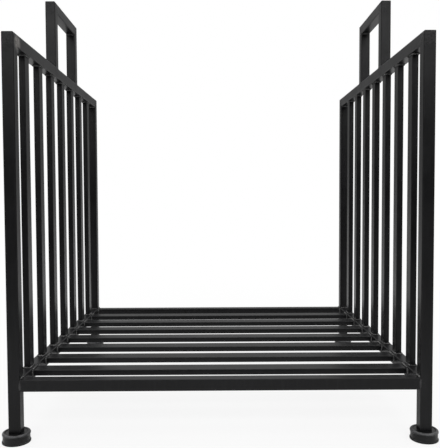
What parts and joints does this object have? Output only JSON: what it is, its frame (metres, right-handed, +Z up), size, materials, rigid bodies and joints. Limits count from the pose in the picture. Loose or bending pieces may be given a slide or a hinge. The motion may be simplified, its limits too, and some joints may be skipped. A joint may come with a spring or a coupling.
{
  "type": "firewood rack",
  "caption": "Open welded firewood rack for the hearth, with barred side panels, a slatted floor, a looped carrying handle on each side and round rubber feet.",
  "frame": {"origin": "on the ground, in the middle of the rack's width and depth", "axes": "+X from the left panel to the right one, +Y from the front to the back, +Z up"},
  "size_m": [0.5774, 0.529, 0.6385],
  "materials": {
    "frame_steel": "satin black powder coat",
    "foot_rubber": "satin moulded"
  },
  "bodies": {
    "root": {"floor_slat_1": "frame_steel", "floor_slat_2": "frame_steel", "floor_slat_3": "frame_steel", "floor_slat_4": "frame_steel", "floor_slat_5": "frame_steel", "floor_slat_6": "frame_steel", "floor_slat_7": "frame_steel", "floor_slat_welds": "frame_steel", "front_floor_rail": "frame_steel", "left_bar_1": "frame_steel", "left_bar_2": "frame_steel", "left_bar_3": "frame_steel", "left_bar_4": "frame_steel", "left_bar_5": "frame_steel", "left_bar_6": "frame_steel", "left_bar_7": "frame_steel", "left_bar_welds": "frame_steel", "left_floor_rail": "frame_steel", "left_front_corner_welds": "frame_steel", "left_front_foot": "foot_rubber", "left_front_post": "frame_steel", "left_handle_front_upright": "frame_steel", "left_handle_grip": "frame_steel", "left_handle_rear_upright": "frame_steel", "left_handle_welds": "frame_steel", "left_rear_corner_welds": "frame_steel", "left_rear_foot": "foot_rubber", "left_rear_post": "frame_steel", "left_top_rail": "frame_steel", "rear_floor_rail": "frame_steel", "right_bar_1": "frame_steel", "right_bar_2": "frame_steel", "right_bar_3": "frame_steel", "right_bar_4": "frame_steel", "right_bar_5": "frame_steel", "right_bar_6": "frame_steel", "right_bar_7": "frame_steel", "right_bar_welds": "frame_steel", "right_floor_rail": "frame_steel", "right_front_corner_welds": "frame_steel", "right_front_foot": "foot_rubber", "right_front_post": "frame_steel", "right_handle_front_upright": "frame_steel", "right_handle_grip": "frame_steel", "right_handle_rear_upright": "frame_steel", "right_handle_welds": "frame_steel", "right_rear_corner_welds": "frame_steel", "right_rear_foot": "foot_rubber", "right_rear_post": "frame_steel", "right_top_rail": "frame_steel"}
  },
  "joints": []
}
